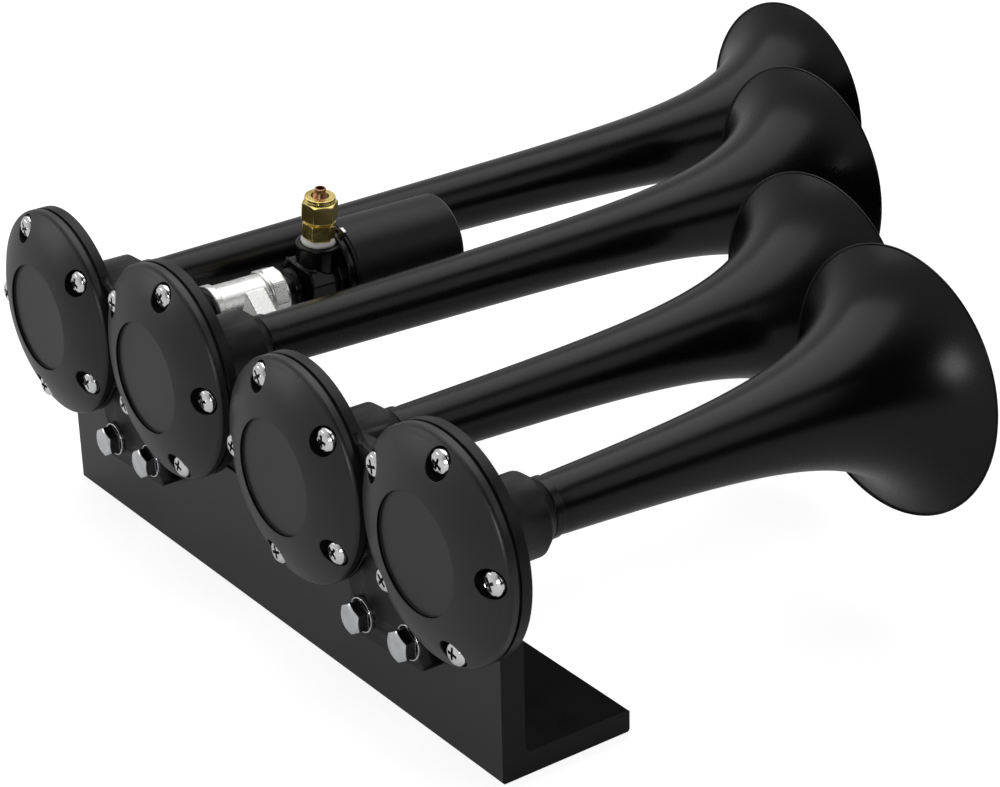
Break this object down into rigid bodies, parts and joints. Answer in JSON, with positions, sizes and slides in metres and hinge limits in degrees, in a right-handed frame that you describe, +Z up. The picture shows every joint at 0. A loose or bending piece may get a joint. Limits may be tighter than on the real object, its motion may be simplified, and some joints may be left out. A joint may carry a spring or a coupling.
{
  "type": "car air horn",
  "caption": "Car air horn: black flared trumpets of stepped lengths on twin diaphragm housings, bolted to a steel angle bracket, with a solenoid air valve and a brass inlet.",
  "frame": {"origin": "middle of the bracket flange's underside", "axes": "+X along the bracket from the longest trumpet to the shortest, +Y from the front covers to the bells, +Z up"},
  "size_m": [0.4162, 0.4525, 0.1589],
  "materials": {
    "bracket_paint": "satin black",
    "housing_paint": "satin black",
    "cover_plastic": "satin black",
    "trumpet_plastic": "satin black, smooth",
    "diaphragm_steel": "rolled",
    "gasket_rubber": "matte",
    "bright_screws": "bright",
    "bright_bolts": "bright zinc",
    "plated_tee": "bright nickel",
    "valve_paint": "semi-gloss black",
    "coil_plastic": "satin black",
    "coil_steel": "plain",
    "fitting_brass": "turned",
    "insert_copper": "reddish, dull",
    "thread_tape": "white tape",
    "pipe_paint": "black"
  },
  "bodies": {
    "root": {"bracket": "bracket_paint", "twin_housing_left": "housing_paint", "twin_housing_right": "housing_paint", "front_cover_1": "cover_plastic", "front_cover_2": "cover_plastic", "front_cover_3": "cover_plastic", "front_cover_4": "cover_plastic", "trumpet_1": "trumpet_plastic", "trumpet_2": "trumpet_plastic", "trumpet_3": "trumpet_plastic", "trumpet_4": "trumpet_plastic", "diaphragm_1": "diaphragm_steel", "diaphragm_2": "diaphragm_steel", "diaphragm_3": "diaphragm_steel", "diaphragm_4": "diaphragm_steel", "gasket_1": "gasket_rubber", "gasket_2": "gasket_rubber", "gasket_3": "gasket_rubber", "gasket_4": "gasket_rubber", "cover_screws": "bright_screws", "lug_bolts": "bright_bolts", "lug_nuts": "bright_bolts", "lug_washers": "bright_bolts", "back_washers": "bright_bolts", "inlet_tee": "plated_tee", "inlet_nipple": "plated_tee", "valve_nipple": "plated_tee", "valve_body": "valve_paint", "coil_nut": "valve_paint", "coil_housing": "coil_plastic", "coil_plate": "coil_steel", "armature_tube": "coil_steel", "plunger": "coil_steel", "return_spring": "coil_steel", "fitting_body": "fitting_brass", "fitting_nut": "fitting_brass", "fitting_ferrule": "fitting_brass", "port_elbow": "fitting_brass", "pipe_nut_left": "fitting_brass", "pipe_nut_right": "fitting_brass", "tube_insert": "insert_copper", "thread_tape": "thread_tape", "cross_pipe": "pipe_paint"}
  },
  "joints": []
}
